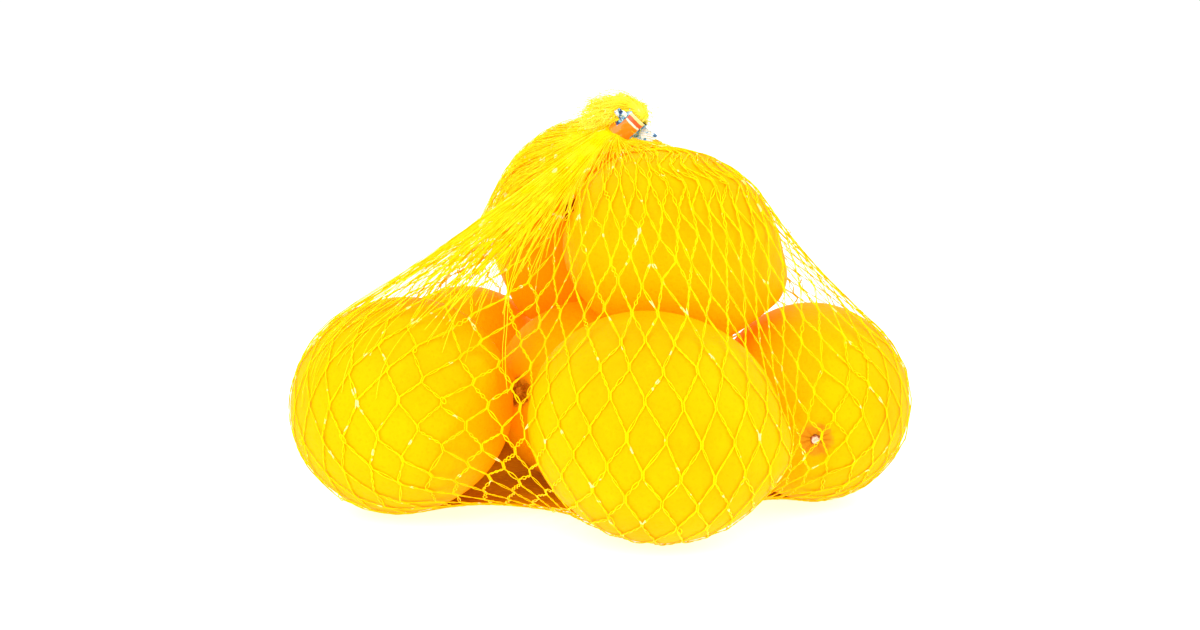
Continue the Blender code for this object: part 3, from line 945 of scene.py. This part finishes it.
def filmFinish(name, tint):
    finish = Finish(name, Roughness=0.16, Specular_IOR_Level=0.5, Coat_Weight=0.4, Coat_Roughness=0.06)
    place = finish.place(tuple(-part for part in neckCentre))
    broad = finish.noise(place, 300, 2)
    other = finish.noise(finish.place((0.3, 0.1, 0.2)), 380, 2)
    colour = finish.mix(finish.between(broad, 0.52, 0.66) * 0.45, film["clear"], film["violet"])
    colour = finish.mix(finish.between(other, 0.56, 0.68) * 0.45, colour, film["green"])
    creased = finish.between(finish.noise(place, 820, 3), 0.60, 0.66)
    colour = finish.mix(creased * tint, colour, tape["pale"])
    inked = finish.noise(place, 560, 3, 0.6)
    blue, dark = 0.66 - 0.22 * tint, 0.70 - 0.20 * tint  # the more tint, the more of the film is inked
    colour = finish.mix(finish.between(inked, blue, blue + 0.04) * 0.9, colour, tape["cyan"])
    colour = finish.mix(finish.between(inked, dark, dark + 0.03), colour, tape["navy"])
    finish.feed("Base Color", colour)
    finish.feed("Roughness", 0.1 + broad * 0.2)
    finish.bump(finish.noise(place, 1300, 3), 0.5, 0.00012)
    return finish.material


def makeBand():
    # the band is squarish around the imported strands, with fine wrinkles along and across it
    turns = fullTurn(tape["around"])[None]
    along = np.linspace(-0.5, 0.5, tape["along"])[:, None] * tape["width"]
    sway = (
        np.sin(turns * 5 + along * 900 + 1.0) * 0.6 + np.sin(turns * 11 - along * 1500) * 0.35
        + np.sin(along * 3300 + turns * 3) * 0.3
    ) * tape["wrinkle"]
    power = tape["corners"]
    square = tape["cornered"] / (np.abs(np.cos(turns)) ** power + np.abs(np.sin(turns)) ** power) ** (1 / power)
    wide = tape["radius"] * square + sway
    flare = 1 + tape["flare"] * (along / tape["width"] * 2)
    grid = (
        neckCentre
        + (np.cos(turns) * wide * flare)[..., None] * neckSide
        + (np.sin(turns) * wide * tape["deep"] / tape["radius"])[..., None] * neckForward
        + along[..., None] * neckLean
    )
    return sheetSolid("tape_band", grid, tape["thick"], tapeFinish(), closed=True)


def makeTab(chance, name, tint, root, way, start, end, length, bend, shift):
    # a crumpled end of film, start wide at its root and end wide at its tip
    s = np.linspace(0, 1, film["samples"][0])[:, None]
    w = np.linspace(-0.5, 0.5, film["samples"][1])[None]
    broad = start + (end - start) * s
    ragged = 1 + film["ragged"] * np.sin(w * 19 + 2) * s
    crumple = (
        np.sin(s * 9 + w * 6 + chance.uniform(0, 6)) * 0.5
        + np.abs(np.sin(s * 6 - w * 13 + chance.uniform(0, 6))) * 0.9
        + np.abs(np.sin(s * 17 + w * 9)) * 0.35
    ) * film["crumple"] * np.minimum(s * film["pinned"], 1)
    normal = unit(np.cross(way, neckLean))
    sheet = (
        root + (way * length) * (s * ragged)[..., None]
        + neckLean * (w * broad + shift * s)[..., None]
        + normal * (crumple + bend * s**2)[..., None]
    )
    finish = filmFinish("film_" + name, tint)
    return sheetSolid("tape_" + name, sheet, tape["thick"] * film["thick"], finish)


def makeTape():
    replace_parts(makeBand(), "neck_tape")
    chance = np.random.default_rng(tape["seed"])
    root = neckCentre + neckSide * tape["radius"] * 0.86 + neckLean * 0.0006
    way = unit((0.84, -0.34, -0.42))
    makeTab(chance, "flag", 0.65, root, way, 0.0052, 0.0030, length=0.0062, bend=0.0006, shift=0.0006)
    root = neckCentre - neckSide * tape["radius"] * 0.8 - neckForward * tape["deep"] + neckLean * 0.0018
    way = unit(-neckSide - neckForward * 0.25 + neckLean * 0.15)
    makeTab(chance, "corner", 1.0, root, way, 0.0030, 0.0020, length=0.0036, bend=0.0003, shift=-0.0005)


print("tape")
makeTape()


studio = dict(
    floor=(0.80, 0.80, 0.80), glow=0.86, world=1.05, key=6.2, fill=1.2, left=0.4, right=1.7,
    lens=56.83, sensor=36.0, eye=(-0.00132, -0.55482, 0.14757), tilt=9.485,
)


def makeStudio():
    mesh = bpy.data.meshes.new("floor")
    far = 6.0
    mesh.from_pydata([(-far, -far, 0), (far, -far, 0), (far, far, 0), (-far, far, 0)], [], [(0, 1, 2, 3)])
    floor = bpy.data.objects.new("floor", mesh)
    bpy.context.scene.collection.objects.link(floor)
    pale = (*studio["floor"], 1)
    finish = Finish(
        "pale_floor", Base_Color=pale, Roughness=0.9, Specular_IOR_Level=0.0,
        Emission_Color=pale, Emission_Strength=studio["glow"],
    )
    mesh.materials.append(finish.material)
    world = bpy.data.worlds.new("studio")
    world.use_nodes = True
    sky = world.node_tree.nodes["Background"]
    sky.inputs["Color"].default_value = (1, 1, 1, 1)
    sky.inputs["Strength"].default_value = studio["world"]
    bpy.context.scene.world = world
    softboxes = [
        ("key", (-0.45, -0.75, 0.95), 1.0, studio["key"]),
        ("fill", (0.75, -0.55, 0.55), 0.8, studio["fill"]),
        ("left", (-0.85, -0.45, 0.30), 0.8, studio["left"]),
        ("right", (0.85, -0.10, 0.75), 0.8, studio["right"]),
    ]
    for name, place, size, power in softboxes:
        light = bpy.data.lights.new(name, "AREA")
        light.size = size
        light.energy = power
        lamp = bpy.data.objects.new(name, light)
        lamp.location = place
        lamp.rotation_euler = (Vector((0, 0, 0.05)) - Vector(place)).to_track_quat("-Z", "Y").to_euler()
        bpy.context.scene.collection.objects.link(lamp)
    camera = bpy.data.cameras.new("camera")
    camera.lens = studio["lens"]
    camera.sensor_width = studio["sensor"]
    eye = bpy.data.objects.new("camera", camera)
    eye.location = studio["eye"]
    eye.rotation_euler = (math.radians(90 - studio["tilt"]), 0, 0)
    bpy.context.scene.collection.objects.link(eye)
    bpy.context.scene.camera = eye
    bpy.context.scene.view_settings.view_transform = "Standard"


print("studio")
makeStudio()
